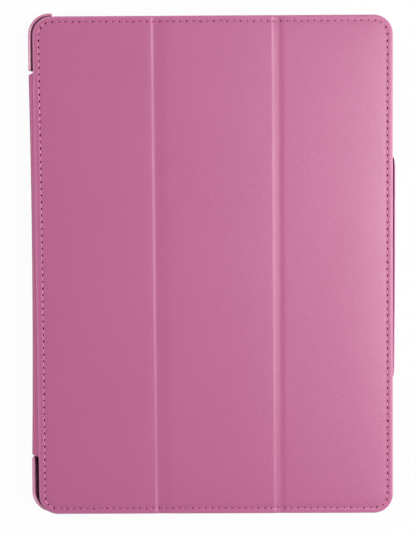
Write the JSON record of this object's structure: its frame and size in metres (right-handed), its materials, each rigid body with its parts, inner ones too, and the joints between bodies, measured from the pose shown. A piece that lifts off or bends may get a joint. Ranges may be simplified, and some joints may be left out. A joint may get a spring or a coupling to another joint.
{
  "type": "tablet case",
  "caption": "Folio case for a tablet: hard moulded tray with corner walls and a side tab, and a hinged soft cover of stiffened panels that folds back into a stand.",
  "frame": {"origin": "middle of the case's outline, on the plane of its back", "axes": "+X to the cover's free edge, +Y to the top of the upright tablet, +Z out of the closed cover"},
  "size_m": [0.1812, 0.248, 0.0144],
  "materials": {
    "leatherette": "smooth pink leatherette with a soft sheen",
    "shell_plastic": "pink moulded plastic",
    "lining": "black microfibre",
    "board": "grey board",
    "magnet": "nickel plated",
    "thread": "pink sewing thread"
  },
  "bodies": {
    "tray": {"back_shell": "shell_plastic", "tray_liner": "lining", "back_flap": "leatherette"},
    "spine": {"spine_skin": "leatherette", "spine_lining": "lining", "back_hinge_skin": "leatherette", "front_hinge_skin": "leatherette", "front_hinge_lining": "lining"},
    "inner_panel": {"inner_panel_skin": "leatherette", "inner_panel_board": "board", "inner_panel_lining": "lining", "inner_panel_stitching": "thread", "stand_magnet_top": "magnet", "stand_magnet_bottom": "magnet", "inner_fold_skin": "leatherette", "inner_fold_lining": "lining"},
    "middle_panel": {"middle_panel_skin": "leatherette", "middle_panel_board": "board", "middle_panel_lining": "lining", "middle_panel_top_stitching": "thread", "middle_panel_bottom_stitching": "thread", "outer_fold_skin": "leatherette", "outer_fold_lining": "lining"},
    "outer_panel": {"outer_panel_skin": "leatherette", "outer_panel_board": "board", "outer_panel_lining": "lining", "outer_panel_stitching": "thread", "closing_magnet_top": "magnet", "closing_magnet_bottom": "magnet", "wake_magnet": "magnet"}
  },
  "joints": [
    {"name": "spine_hinge", "type": "hinge", "parent": "tray", "child": "spine", "pos_m": [-0.08791, 0, 0.0007], "axis": [0, -1, 0], "range_deg": [0, 180], "deforming": ["back_hinge_skin"]},
    {"name": "cover_hinge", "type": "hinge", "parent": "spine", "child": "inner_panel", "pos_m": [-0.08846, 0, 0.0124], "axis": [0, -1, 0], "range_deg": [0, 90], "deforming": ["front_hinge_skin", "front_hinge_lining"]},
    {"name": "inner_fold", "type": "hinge", "parent": "inner_panel", "child": "middle_panel", "pos_m": [-0.0276, 0, 0.0124], "axis": [0, -1, 0], "range_deg": [0, 118], "deforming": ["inner_fold_skin", "inner_fold_lining"]},
    {"name": "outer_fold", "type": "hinge", "parent": "middle_panel", "child": "outer_panel", "pos_m": [0.032, 0, 0.0124], "axis": [0, -1, 0], "range_deg": [0, 118], "deforming": ["outer_fold_skin", "outer_fold_lining"]}
  ]
}
